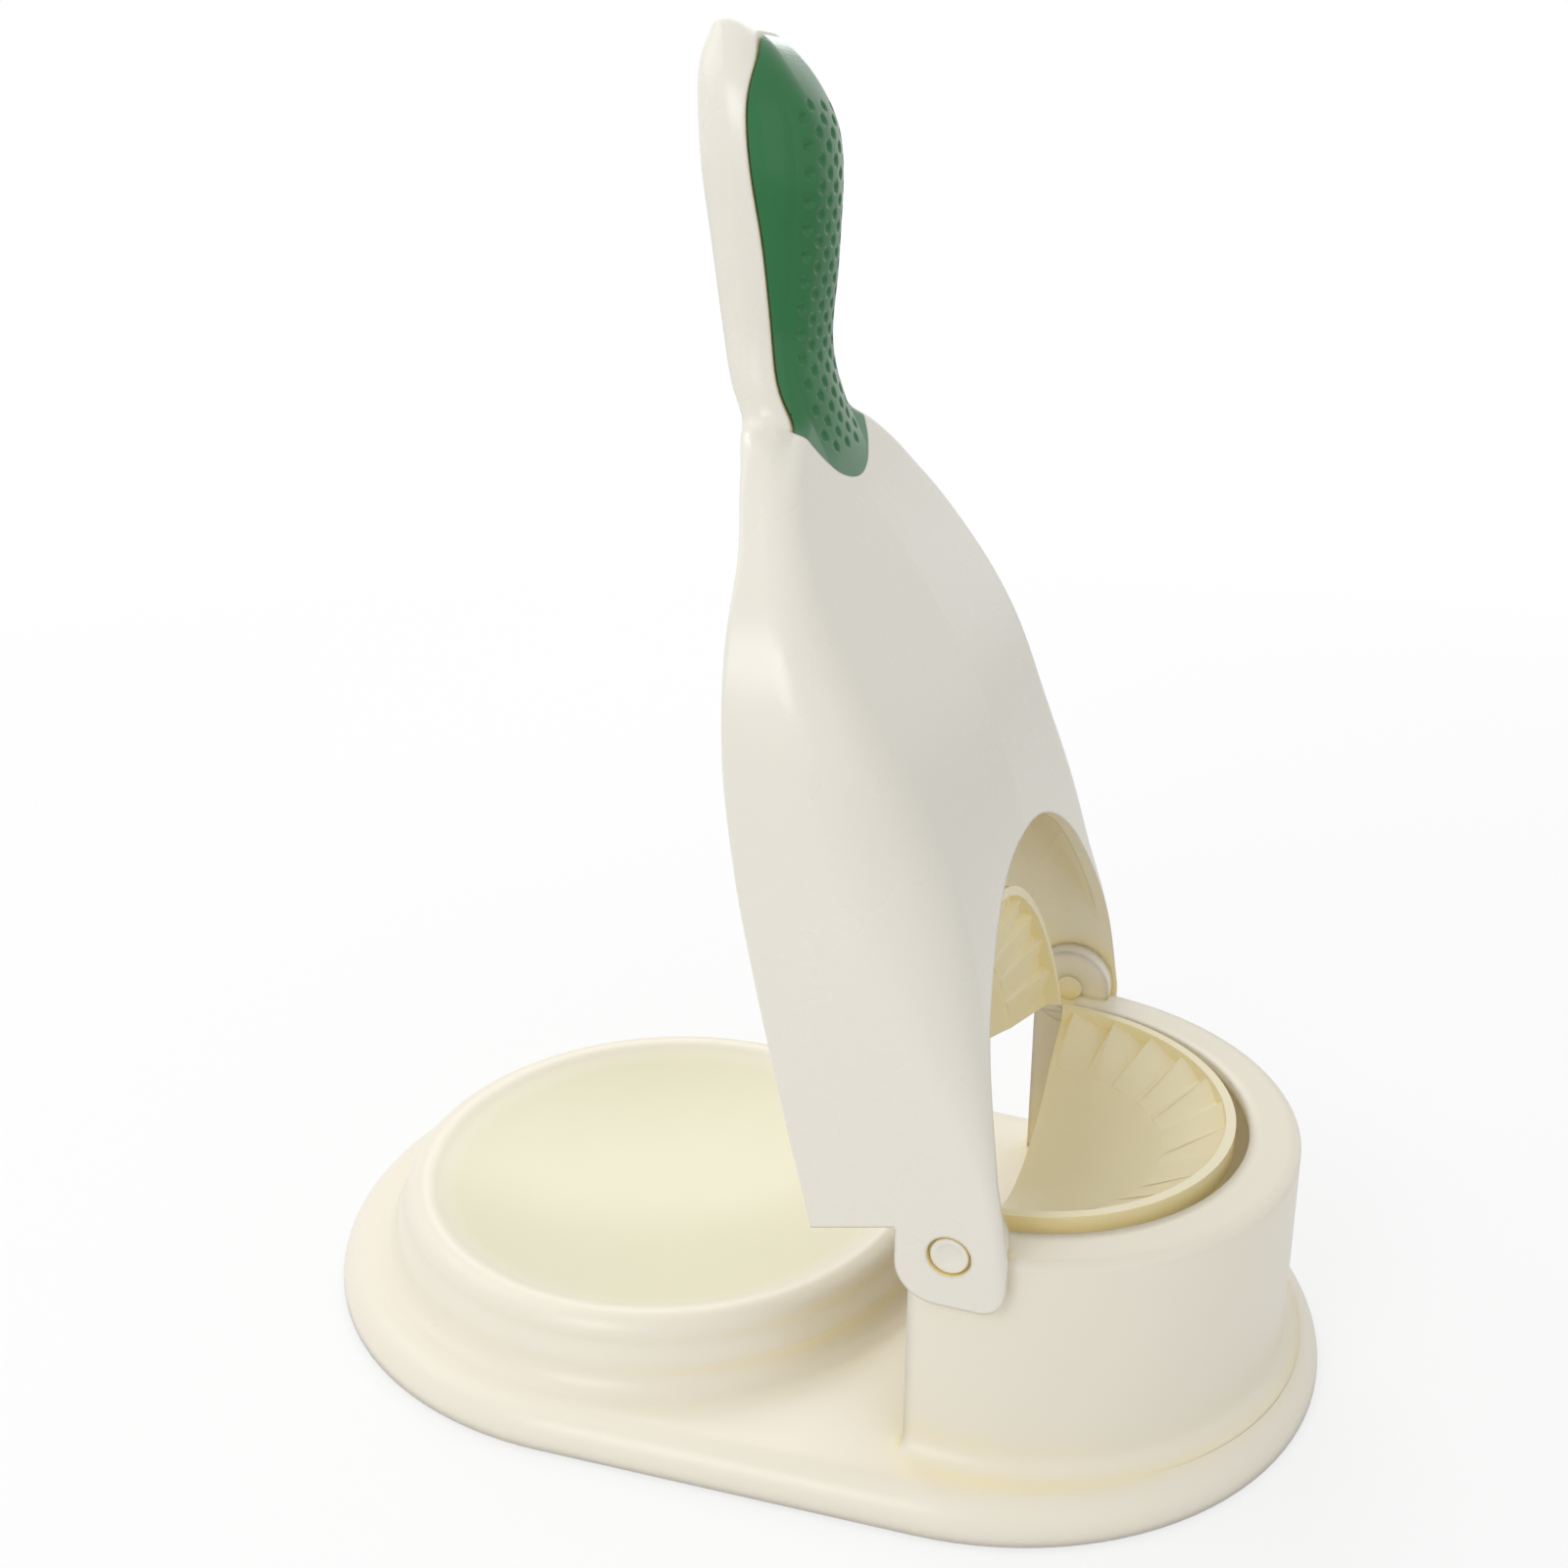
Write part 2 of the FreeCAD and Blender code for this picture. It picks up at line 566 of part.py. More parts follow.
def corner(before, at, after, radius):
    """Start, middle and end of the arc that rounds a corner of a plane outline."""
    into = (before - at).normalize()
    out = (after - at).normalize()
    half_angle = math.acos(max(min(into.dot(out), 1), -1)) / 2
    reach = radius / math.tan(half_angle)
    bisector = (into + out).normalize()
    depth = radius / math.sin(half_angle) - radius
    return at + into * reach, at + bisector * depth, at + out * reach


def lever_section(height, inset, open_back):
    """A level slice of the lever: crease in front, rounded shoulders, flat sides, flat back."""
    share = share_at(height)
    z = PIVOT_Z + height
    half = lever_half_width(height) - inset
    front = PIVOT_X + lever_front(height) - inset * FRONT_WALL_SHARE
    back = PIVOT_X - OPEN_REACH if open_back else PIVOT_X + lever_back(height) + inset
    ridge = RIDGE_HEIGHT * fade(RIDGE_RISE_SHARES, share) * (1 - fade(RIDGE_FADE_SHARES, share))
    side = front - ridge
    ripe = fade(CORNER_FADE_SHARES, share)
    hood_round = LEG_ROUND + (SHOULDER_ROUND - LEG_ROUND) * fade(SHOULDER_FADE_SHARES, share)
    front_round = max(hood_round + (HANDLE_ROUND - hood_round) * ripe - inset, RIM_ROUND)
    back_round = RIM_ROUND + (HANDLE_ROUND - RIM_ROUND - inset) * ripe
    depth = side - (PIVOT_X + lever_back(height) + inset)
    front_round = min(front_round, FRONT_ROUND_SHARE * depth, SIDE_ROUND_SHARE * half)
    back_round = min(back_round, BACK_ROUND_SHARE * depth, SIDE_ROUND_SHARE * half)
    crease = vec(front, 0, z)
    corners = [(vec(side, half, z), front_round), (vec(back, half, z), back_round),
               (vec(back, -half, z), back_round), (vec(side, -half, z), front_round)]
    ring = [crease] + [point for point, radius in corners] + [crease]
    edges = []
    last = crease
    for index, (point, radius) in enumerate(corners):
        start, middle, end = corner(ring[index], point, ring[index + 2], radius)
        edges += [line(last, start), arc(start, middle, end)]
        last = end
    edges.append(line(last, crease))
    return Part.Wire(edges)


def lever_outside():
    sections = [lever_section(height_at(share), 0, False) for share in SECTION_SHARES]
    return Part.makeLoft(sections, True, False)


def hood_cavity():
    """The hollow of the hood, open at the back and below, reaching just past the press plate."""
    lean = math.radians(PRESS_ANGLE)
    reach = HOOD_CENTRE_RISE + PRESS_FLANGE_RADIUS
    drop = PIVOT_Z - PRESS_FLANGE_Z - PRESS_PLATE_WALL
    top_rise = reach * math.sin(lean) - drop * math.cos(lean) + PRESS_FLANGE_FIT
    top_share = share_at(top_rise)
    shares = [share for share in SECTION_SHARES if share < top_share] + [top_share]
    sections = [lever_section(height_at(share), LEVER_WALL, True) for share in shares]
    return Part.makeLoft(sections, True, False)


def handle_trough():
    """The hollow inside the handle, closed in front by the grip."""
    sections = [lever_section(height_at(share), GRIP_WALL, False) for share in TROUGH_SHARES]
    return Part.makeLoft(sections, True, False)


def grip_side(gap):
    """The space in front of the seam between handle and grip, moved forward by a gap."""
    points = [vec(PIVOT_X - HANDLE_LEAN * back + gap, 0, PIVOT_Z + height_at(rise) + gap)
              for rise, back in SEAM_SHARES]
    seam = Part.BSplineCurve()
    seam.interpolate(points)
    front_x = PIVOT_X
    closing = [points[-1], vec(front_x, 0, points[-1].z), vec(front_x, 0, points[0].z), points[0]]
    edges = [seam.toShape()] + [line(a, b) for a, b in zip(closing, closing[1:])]
    space = Part.Face(Part.Wire(edges)).extrude(vec(0, 2 * HOOD_RADIUS, 0))
    space.translate(vec(0, -HOOD_RADIUS, 0))
    return space


def grip_outline():
    """Front view limit of the grip: as wide as the handle, with a rounded lower tip."""
    tip_z = PIVOT_Z + height_at(GRIP_TIP_SHARES[0])
    wide_z = PIVOT_Z + height_at(GRIP_TIP_SHARES[1])
    top_z = PIVOT_Z + LEVER_RISE + OVERRUN
    x = PIVOT_X - OPEN_REACH
    half = HANDLE_HALF_WIDTH + OVERRUN
    left, right = vec(x, half, wide_z), vec(x, -half, wide_z)
    round_end = Part.Arc(left, vec(x, 0, tip_z), right).toShape()
    closing = [right, vec(x, -half, top_z), vec(x, half, top_z), left]
    edges = [round_end] + [line(a, b) for a, b in zip(closing, closing[1:])]
    return Part.Face(Part.Wire(edges)).extrude(vec(2 * OPEN_REACH, 0, 0))


def arch_cut():
    """The round arch in the front face that lets the hood pass over the drum."""
    depth = LEG_FRONT + TONGUE_HALF_WIDTH
    disc = Part.makeCylinder(ARCH_RADIUS, 2 * depth, vec(PIVOT_X - depth, 0, PIVOT_Z), vec(1, 0, 0))
    between_legs = box((PIVOT_X - depth, -LEG_INNER_Y, PIVOT_Z - ARCH_RADIUS),
                       (PIVOT_X + depth, LEG_INNER_Y, PIVOT_Z + ARCH_RADIUS))
    return disc.common(between_legs)


def leg_bottom_cut():
    """What is taken off under the legs, leaving a rounded tab about each pivot."""
    low = PIVOT_Z - HOOD_RADIUS
    setback = -lever_back(0)
    slope = LEG_STEP_RISE / (setback - LEG_STEP_BACK)
    step_z = PIVOT_Z + LEG_STEP_RISE
    far = 2 * setback
    outline = [vec(PIVOT_X - far, 0, low), vec(PIVOT_X + far, 0, low), vec(PIVOT_X + far, 0, step_z),
               vec(PIVOT_X - LEG_STEP_BACK, 0, step_z),
               vec(PIVOT_X - far, 0, step_z - slope * (far - LEG_STEP_BACK))]
    width = 2 * (HOOD_RADIUS + OVERRUN)
    below = Part.Face(Part.makePolygon(outline + outline[:1])).extrude(vec(0, width, 0))
    below.translate(vec(0, -width / 2, 0))
    tab = box((PIVOT_X - LEG_STEP_BACK, -OPEN_REACH, PIVOT_Z - TAB_DROP),
              (PIVOT_X + LEG_FRONT, OPEN_REACH, step_z + TAB_DROP))
    lower = [edge for edge in tab.Edges if edge.BoundBox.YLength > OPEN_REACH
             and edge.BoundBox.ZMax < PIVOT_Z]
    lower.sort(key=lambda edge: edge.BoundBox.XMin)
    tab = tab.makeFillet(TAB_BACK_ROUND, lower[:1])
    lower = [edge for edge in tab.Edges if edge.BoundBox.YLength > OPEN_REACH
             and edge.BoundBox.ZMax < PIVOT_Z and edge.BoundBox.XMin > PIVOT_X + LEG_FRONT / 2]
    tab = tab.makeFillet(TAB_FRONT_ROUND, lower)
    return below.cut(tab)


def pin_spaces():
    """Running holes and head recesses for the two pivot pins."""
    head_y = HOOD_RADIUS - PIN_RECESS - PIN_HEAD_HEIGHT
    spaces = [rod_y(PIN_RADIUS + PIN_FIT, -OPEN_REACH, OPEN_REACH, PIVOT_X, PIVOT_Z)]
    head = PIN_HEAD_RADIUS + PIN_RING_GAP
    spaces.append(rod_y(head, head_y - PIN_HEAD_FIT, OPEN_REACH, PIVOT_X, PIVOT_Z))
    spaces.append(rod_y(head, -OPEN_REACH, -head_y + PIN_HEAD_FIT, PIVOT_X, PIVOT_Z))
    return Part.makeCompound(spaces)


def lug_places():
    """Press plate lug centres with the plate over the dish; angles are from the handle's side."""
    return [(DISH_X - LUG_CIRCLE * math.cos(math.radians(turn)),
             LUG_CIRCLE * math.sin(math.radians(turn))) for turn in LUG_ANGLES]


def hood_bosses():
    """Screw bosses inside the hood for the press plate and for the upper mould, as seen over the dish."""
    bosses = []
    seats = [(place, PRESS_FLANGE_Z + PRESS_PLATE_WALL) for place in lug_places()]
    seats += [(place, PIVOT_Z - TONGUE_DROP) for place in tongue_screw_places()]
    for (x, y), seat_z in seats:
        boss = rod_z(LUG_RADIUS, seat_z, PIVOT_Z + HOOD_RADIUS, x, y)
        pilot = rod_z(SCREW_RADIUS + SCREW_FIT, seat_z, seat_z + SCREW_LENGTH, x, y)
        bosses.append(turned(boss.cut(pilot), PRESS_ANGLE))
    return bosses


def lever_pieces():
    """The lever shell and the grip let into its handle."""
    outside = lever_outside()
    trough = handle_trough()
    shell = outside.cut(hood_cavity())
    shell = shell.cut(arch_cut())
    bosses = [boss.common(outside) for boss in hood_bosses()]
    shell = joined(shell, *bosses)
    shell = shell.cut(Part.makeCompound([leg_bottom_cut()]))
    shell = shell.cut(pin_spaces())
    recess = grip_side(0).common(grip_outline())
    shell = shell.cut(recess).cut(trough)
    grip = outside.common(grip_side(GRIP_SEAM)).common(grip_outline()).cut(trough)
    return shell, grip


def pivot_pin(side):
    """A headed pin, dimpled on its face, held in the ear and turning in the leg."""
    head_out = HOOD_RADIUS - PIN_RECESS
    head_in = head_out - PIN_HEAD_HEIGHT
    shank = rod_y(PIN_RADIUS, EAR_INNER_Y, head_in + PIN_HEAD_HEIGHT / 2, PIVOT_X, PIVOT_Z)
    head = rod_y(PIN_HEAD_RADIUS, head_in, head_out, PIVOT_X, PIVOT_Z)
    ball = (PIN_DIMPLE_RADIUS ** 2 + PIN_DIMPLE_DEPTH ** 2) / (2 * PIN_DIMPLE_DEPTH)
    dimple = Part.makeSphere(ball, vec(PIVOT_X, head_out + ball - PIN_DIMPLE_DEPTH, PIVOT_Z))
    pin = joined(shank, head).cut(dimple)
    return pin if side > 0 else pin.mirror(PIVOT, AXIS_Y)


def press_plate_over_dish():
    """The convex plate that spreads the dough over the dish, with the flange that closes the hood."""
    low = DISH_FLOOR_Z + WRAPPER_GAP
    edge = bowl_z(PRESS_PLATE_RADIUS, DISH_FLOOR_Z, DISH_LIP_RADIUS, DISH_LIP_Z)
    edge += WRAPPER_GAP + PRESS_EDGE_LIFT
    half = PRESS_PLATE_RADIUS / 2
    neck = PRESS_PLATE_RADIUS + PRESS_SKIRT_DRAFT
    wall = PRESS_PLATE_WALL
    flange_top = PRESS_FLANGE_Z + wall
    plate = revolved(profile([
        (0, low),
        ("arc", half, bowl_z(half, low, PRESS_PLATE_RADIUS, edge)),
        (PRESS_PLATE_RADIUS, edge),
        (neck, PRESS_FLANGE_Z),
        (PRESS_FLANGE_RADIUS, PRESS_FLANGE_Z),
        (PRESS_FLANGE_RADIUS, flange_top),
        (neck - wall, flange_top),
        (PRESS_PLATE_RADIUS - wall, edge + wall),
        ("arc", half, bowl_z(half, low + wall, PRESS_PLATE_RADIUS - wall, edge + wall)),
        (0, low + wall),
    ]), DISH_X)
    holes = [rod_z(SCREW_RADIUS + SCREW_FIT, PRESS_FLANGE_Z - OVERRUN, flange_top + OVERRUN, x, y)
             for x, y in lug_places()]
    return plate.cut(Part.makeCompound(holes))


# Fasteners

def screw(x, y, seat_z, length, up):
    """A slotted pan-head screw standing on a seat; up is the way its shank points."""
    direction = AXIS_Z * up
    shank = Part.makeCylinder(SCREW_RADIUS, length, vec(x, y, seat_z), direction)
    head = Part.makeCylinder(SCREW_HEAD_RADIUS, SCREW_HEAD_HEIGHT, vec(x, y, seat_z), -direction)
    outer = [edge for edge in head.Edges
             if abs(edge.BoundBox.ZMin - (seat_z - up * SCREW_HEAD_HEIGHT)) < SCREW_FIT
             and edge.BoundBox.ZLength < SCREW_FIT]
    head = head.makeFillet(SCREW_HEAD_HEIGHT / 3, outer)
    face_z = seat_z - up * SCREW_HEAD_HEIGHT
    slot_z = sorted((face_z - up * OVERRUN, face_z + up * SCREW_SLOT_DEPTH))
    slot = box((x - SCREW_HEAD_RADIUS, y - SCREW_SLOT_WIDTH / 2, slot_z[0]),
               (x + SCREW_HEAD_RADIUS, y + SCREW_SLOT_WIDTH / 2, slot_z[1]))
    return joined(shank, head).cut(slot)


def lower_mould_screws():
    through = BASE_WALL + SCREW_LENGTH - SCREW_HEAD_HEIGHT / 2
    return Part.makeCompound([screw(x, y, PLATE_TOP - BASE_WALL, through, 1) for x, y in post_places()])


def press_plate_screws():
    length = PRESS_PLATE_WALL + SCREW_LENGTH - SCREW_HEAD_HEIGHT / 2
    return Part.makeCompound([turned(screw(x, y, PRESS_FLANGE_Z, length, 1), PRESS_ANGLE)
                              for x, y in lug_places()])


def upper_mould_screws():
    seat = PIVOT_Z - TONGUE_DROP - TONGUE_THICKNESS
    length = TONGUE_THICKNESS + SCREW_LENGTH - SCREW_HEAD_HEIGHT / 2
    return Part.makeCompound([turned(screw(x, y, seat, length, 1), PRESS_ANGLE)
                              for x, y in tongue_screw_places()])


def all_nodes():
    """Every piece by its name, with the lever standing up."""
    shell, grip = lever_pieces()
    nodes = {
        "base_shell": base_shell(),
        "lower_mould": lower_mould(),
        "lower_mould_screws": lower_mould_screws(),
        "pivot_pin_near": pivot_pin(-1),
        "pivot_pin_far": pivot_pin(1),
        "lever_shell": shell,
        "grip_insert": grip,
        "press_plate": turned(press_plate_over_dish(), PRESS_ANGLE),
        "press_plate_screws": press_plate_screws(),
        "upper_mould": turned(upper_mould_open(), PRESS_ANGLE),
        "upper_mould_screws": upper_mould_screws(),
    }
    names = ("foot_dish_near", "foot_dish_far", "foot_drum_near", "foot_drum_far")
    for name, (x, y) in zip(names, foot_places()):
        nodes[name] = foot(x, y)
    return nodes


os.makedirs("parts", exist_ok=True)
for name, shape in all_nodes().items():
    shape.exportStep("parts/" + name + ".step")
    print(name, "solids", len(shape.Solids), "valid", shape.isValid(), "volume", round(shape.Volume))
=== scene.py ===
"""Hand dumpling maker in ivory plastic with a green grip, on a pale studio floor."""
import math

import bmesh
import bpy
from mathutils import Matrix, Vector
from mathutils.bvhtree import BVHTree
from mathutils.kdtree import KDTree

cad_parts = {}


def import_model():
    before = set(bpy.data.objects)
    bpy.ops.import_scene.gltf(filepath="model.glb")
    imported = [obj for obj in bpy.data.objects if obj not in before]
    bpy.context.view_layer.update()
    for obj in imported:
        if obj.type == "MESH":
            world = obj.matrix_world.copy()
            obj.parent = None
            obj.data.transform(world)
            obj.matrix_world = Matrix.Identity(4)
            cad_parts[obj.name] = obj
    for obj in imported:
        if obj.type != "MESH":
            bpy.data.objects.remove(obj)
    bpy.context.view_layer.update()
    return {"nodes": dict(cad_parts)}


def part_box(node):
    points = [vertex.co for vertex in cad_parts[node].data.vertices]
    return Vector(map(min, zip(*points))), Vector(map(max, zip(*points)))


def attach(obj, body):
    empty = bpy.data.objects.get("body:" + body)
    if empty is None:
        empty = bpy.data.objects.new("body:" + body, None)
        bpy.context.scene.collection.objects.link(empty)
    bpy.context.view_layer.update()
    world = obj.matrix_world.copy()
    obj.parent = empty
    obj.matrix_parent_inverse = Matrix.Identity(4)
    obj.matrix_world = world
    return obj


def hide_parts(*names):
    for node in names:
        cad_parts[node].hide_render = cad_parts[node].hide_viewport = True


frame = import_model()
NODES = frame["nodes"]
MM = 0.001

# Camera of the photograph, in millimetres
CAMERA_PLACE = (100.75, -295.8, 229.3)
CAMERA_TARGET = (-7.75, 1.9, 112.4)
CAMERA_LENS = 38.54
CAMERA_SENSOR = 36.0

# Colours as linear red, green, blue
IVORY = (0.815, 0.765, 0.650)
OFF_WHITE = (0.775, 0.745, 0.660)
# Ivory of the moulds, made yellower and brighter with painted warm bounce light from inside the
# moulds
MOULD_IVORY_AND_BOUNCE = (0.840, 0.775, 0.560)
# Painted warm bounce light, the colour put into hollows
PAINTED_BOUNCE_IVORY = (0.960, 0.820, 0.430)
# Darker, yellower floor of the dish: painted shade and bounce light in the bowl of the one-piece
# base
DISH_PAINTED_SHADE = (0.755, 0.725, 0.535)
GRIP_GREEN = (0.024, 0.145, 0.048)
RUBBER_GREY = (0.40, 0.39, 0.36)
STEEL = (0.56, 0.56, 0.57)
FLOOR_WHITE = (0.86, 0.86, 0.86)

# Floor: just under the feet, lifted to white away from the object (metres from its middle)
FLOOR_Z = -0.05 * MM
FLOOR_HALF = 6.0
FLOOR_ROUGHNESS = 0.9
LIFT_REACH = (0.15, 0.75)
LIFT_SHARE = (0.70, 1.0)

# Light of the white surroundings, on the object and as the camera and mirrors see it
WORLD_LIGHT = 0.70
WORLD_SEEN = 1.0

# Lamps: name, place and side in millimetres, power in watts
LAMP_TARGET = (0, 0, 80)
LAMPS = (
    ("key", (-150, -650, 520), 300, 1.3),
    ("side", (-480, -60, 620), 500, 0.85),
    ("back", (-250, 560, 620), 500, 1.7),
    ("fill", (560, -380, 420), 500, 0.25),
)

# Moulded plastic: noise scales are per metre, reaches in metres
CLOUD_SCALE = 16
CLOUD_SPREAD = 0.02
UNEVEN_SCALE = 60
UNEVEN_SPREAD = 0.05
GRAIN_SCALE = 1500
GRAIN_STRENGTH = 0.02
GRAIN_HEIGHT = 0.1 * MM
# Painted warm bounce light in hollows: reach of the ambient occlusion and the span over which it
# fades out
BOUNCE_PAINT_REACH = 40 * MM
BOUNCE_PAINT_SPAN = (0.35, 0.82)
SHADER_SAMPLES = 8
PLASTIC_IOR = 1.49

# Dish of the base, whose floor gets painted shade and bounce light
DISH_MIDDLE = -34.35 * MM
DISH_RIM = 53.0 * MM
DISH_FADE = 0.88

# Pleats of the moulds, about the hinge. A peak is the ridge's share of the pleat's width, in the
# CAD mould and in its copy.
HINGE = Vector((44.15, 0, 52.6)) * MM
LEVER_LEAN = math.radians(80.0)
PLEAT_PITCH = math.radians(13.5)
PLEAT_LAST = 6
PLEAT_ENDS = (28.5 * MM, 41.25 * MM)
CONE_ENDS = (-8.8 * MM, -3.2 * MM)
PLEAT_RISE = (0.05 * MM, 2.6 * MM)
PLEAT_PEAK = 0.64
STEEP_PEAK = 0.85
PLEAT_LIFT = 1.2
CREASE_ANGLE = 0.3
WELD = 0.002 * MM
SLIVER = 0.01 * MM

# Dimples of the grip
DIMPLE_RADIUS = 1.15 * MM
DIMPLE_DEPTH = 0.55 * MM
DIMPLE_ROW = 2.9 * MM
DIMPLE_STEP = 2.2 * MM
DIMPLE_ROWS = 3
DIMPLE_LOW = 6.0 * MM
DIMPLE_HIGH = 10.0 * MM
GRIP_CROWN = 2.0 * MM
CROWN_HALF = 11.0 * MM
CROWN_FADE = 16.0 * MM
GRIP_DEPTH = 8
GRIP_FILL = 0.98
SHARP_ANGLE = 0.9
RAY_START = 50 * MM


def node_tree(name):
    """A fresh material with its principled shader, as (material, nodes, links, shader)."""
    material = bpy.data.materials.new(name)
    material.use_nodes = True
    tree = material.node_tree
    return material, tree.nodes, tree.links, tree.nodes["Principled BSDF"]


def object_noise(nodes, links, scale, detail):
    """Noise in the object's own metres."""
    place = nodes.new("ShaderNodeTexCoord")
    noise = nodes.new("ShaderNodeTexNoise")
    noise.inputs["Scale"].default_value = scale
    noise.inputs["Detail"].default_value = detail
    links.new(place.outputs["Object"], noise.inputs["Vector"])
    return noise.outputs["Fac"]


def ranged(nodes, links, value, from_low, from_high, to_low, to_high):
    """The value mapped from one span to another, clamped."""
    mapped = nodes.new("ShaderNodeMapRange")
    for name, number in (("From Min", from_low), ("From Max", from_high),
                         ("To Min", to_low), ("To Max", to_high)):
        mapped.inputs[name].default_value = number
    links.new(value, mapped.inputs["Value"])
    return mapped.outputs["Result"]


def mixed(nodes, links, factor, first, second):
    """Two colours mixed by a factor; a colour is a tuple or a socket."""
    mix = nodes.new("ShaderNodeMix")
    mix.data_type = "RGBA"
    links.new(factor, mix.inputs["Factor"])
    for socket, colour in (("A", first), ("B", second)):
        target = [s for s in mix.inputs if s.name == socket and s.type == "RGBA"][0]
        if isinstance(colour, tuple):
            target.default_value = (*colour, 1)
        else:
            links.new(colour, target)
    return [s for s in mix.outputs if s.type == "RGBA"][0]


def shade(colour, factor):
    """The colour made lighter or darker."""
    return tuple(channel * factor for channel in colour)


def grained(nodes, links, scale, detail, strength, height):
    """A bump node with a fine grain."""
    bump = nodes.new("ShaderNodeBump")
    bump.inputs["Strength"].default_value = strength
    bump.inputs["Distance"].default_value = height
    links.new(object_noise(nodes, links, scale, detail), bump.inputs["Height"])
    return bump


def moulded_plastic(name, colour, bounce_paint, roughness, soft, dish=None, own=False):
    """Glossy moulded plastic: painted warm bounce light in its hollows, softened edges and a fine
    grain.

    bounce_paint is the colour for hollows, a painted warm bounce light put where ambient occlusion
    finds them; soft is the radius of the edges; dish is the colour of the dish's floor, a painted
    shade and bounce light. With own, only the piece itself makes hollows.
    """
    material, nodes, links, shader = node_tree(name)
    cloud = object_noise(nodes, links, CLOUD_SCALE, 1)
    light, dark = shade(colour, 1 + CLOUD_SPREAD), shade(colour, 1 - CLOUD_SPREAD)
    base = mixed(nodes, links, cloud, light, dark)
    # Painted shade and bounce light on the dish's floor
    if dish:
        base = mixed(nodes, links, dish_painted_shade_share(nodes, links), base, dish)
    # Painted warm bounce light: where ambient occlusion finds a hollow, the colour turns to the
    # hollow colour
    bounce_occlusion = nodes.new("ShaderNodeAmbientOcclusion")
    bounce_occlusion.samples = SHADER_SAMPLES
    bounce_occlusion.only_local = own
    bounce_occlusion.inputs["Distance"].default_value = BOUNCE_PAINT_REACH
    unpainted_share = ranged(nodes, links, bounce_occlusion.outputs["AO"], *BOUNCE_PAINT_SPAN, 0, 1)
    links.new(mixed(nodes, links, unpainted_share, bounce_paint, base), shader.inputs["Base Color"])
    uneven = object_noise(nodes, links, UNEVEN_SCALE, 2)
    gloss = ranged(nodes, links, uneven, 0, 1, roughness - UNEVEN_SPREAD, roughness + UNEVEN_SPREAD)
    links.new(gloss, shader.inputs["Roughness"])
    edges = nodes.new("ShaderNodeBevel")
    edges.samples = SHADER_SAMPLES
    edges.inputs["Radius"].default_value = soft
    bump = grained(nodes, links, GRAIN_SCALE, 1, GRAIN_STRENGTH, GRAIN_HEIGHT)
    links.new(edges.outputs["Normal"], bump.inputs["Normal"])
    links.new(bump.outputs["Normal"], shader.inputs["Normal"])
    shader.inputs["IOR"].default_value = PLASTIC_IOR
    return material


def dish_painted_shade_share(nodes, links):
    """Mask of the painted shade on the dish's floor: 1 on the floor and 0 outside its rim, by
    distance from the dish's middle.
    """
    place = nodes.new("ShaderNodeTexCoord")
    flat = nodes.new("ShaderNodeMapping")
    flat.inputs["Location"].default_value = (-DISH_MIDDLE, 0, 0)
    flat.inputs["Scale"].default_value = (1, 1, 0)
    reach = nodes.new("ShaderNodeVectorMath")
    reach.operation = "LENGTH"
    links.new(place.outputs["Object"], flat.inputs["Vector"])
    links.new(flat.outputs["Vector"], reach.inputs[0])
    return ranged(nodes, links, reach.outputs["Value"], DISH_RIM, DISH_RIM * DISH_FADE, 0, 1)


def grip_plastic():
    """Deep green gloss with faint clouds and a fine grain."""
    material, nodes, links, shader = node_tree("grip_green")
    cloud = object_noise(nodes, links, 60, 4)
    green = mixed(nodes, links, cloud, GRIP_GREEN, shade(GRIP_GREEN, 1.18))
    links.new(green, shader.inputs["Base Color"])
    uneven = object_noise(nodes, links, 150, 3)
    links.new(ranged(nodes, links, uneven, 0, 1, 0.14, 0.24), shader.inputs["Roughness"])
    bump = grained(nodes, links, 1400, 2, 0.06, 0.2 * MM)
    links.new(bump.outputs["Normal"], shader.inputs["Normal"])
    shader.inputs["Specular IOR Level"].default_value = 0.30
    return material


def rubber():
    """Dull grey rubber with patches of dust."""
    material, nodes, links, shader = node_tree("foot_rubber")
    dust = object_noise(nodes, links, 220, 4)
    dust = ranged(nodes, links, dust, 0.35, 0.7, 0, 1)
    grey = mixed(nodes, links, dust, RUBBER_GREY, shade(RUBBER_GREY, 1.2))
    links.new(grey, shader.inputs["Base Color"])
    links.new(ranged(nodes, links, dust, 0, 1, 0.72, 0.88), shader.inputs["Roughness"])
    return material


def steel():
    """Bright screw steel with an uneven polish."""
    material, nodes, links, shader = node_tree("screw_steel")
    turned = object_noise(nodes, links, 1200, 3)
    metal = mixed(nodes, links, turned, STEEL, shade(STEEL, 0.82))
    links.new(metal, shader.inputs["Base Color"])
    links.new(ranged(nodes, links, turned, 0.3, 0.7, 0.26, 0.42), shader.inputs["Roughness"])
    shader.inputs["Metallic"].default_value = 1
    return material


def dress(material, *names):
    """Gives CAD nodes their material."""
    for name in names:
        data = NODES[name].data
        data.materials.clear()
        data.materials.append(material)


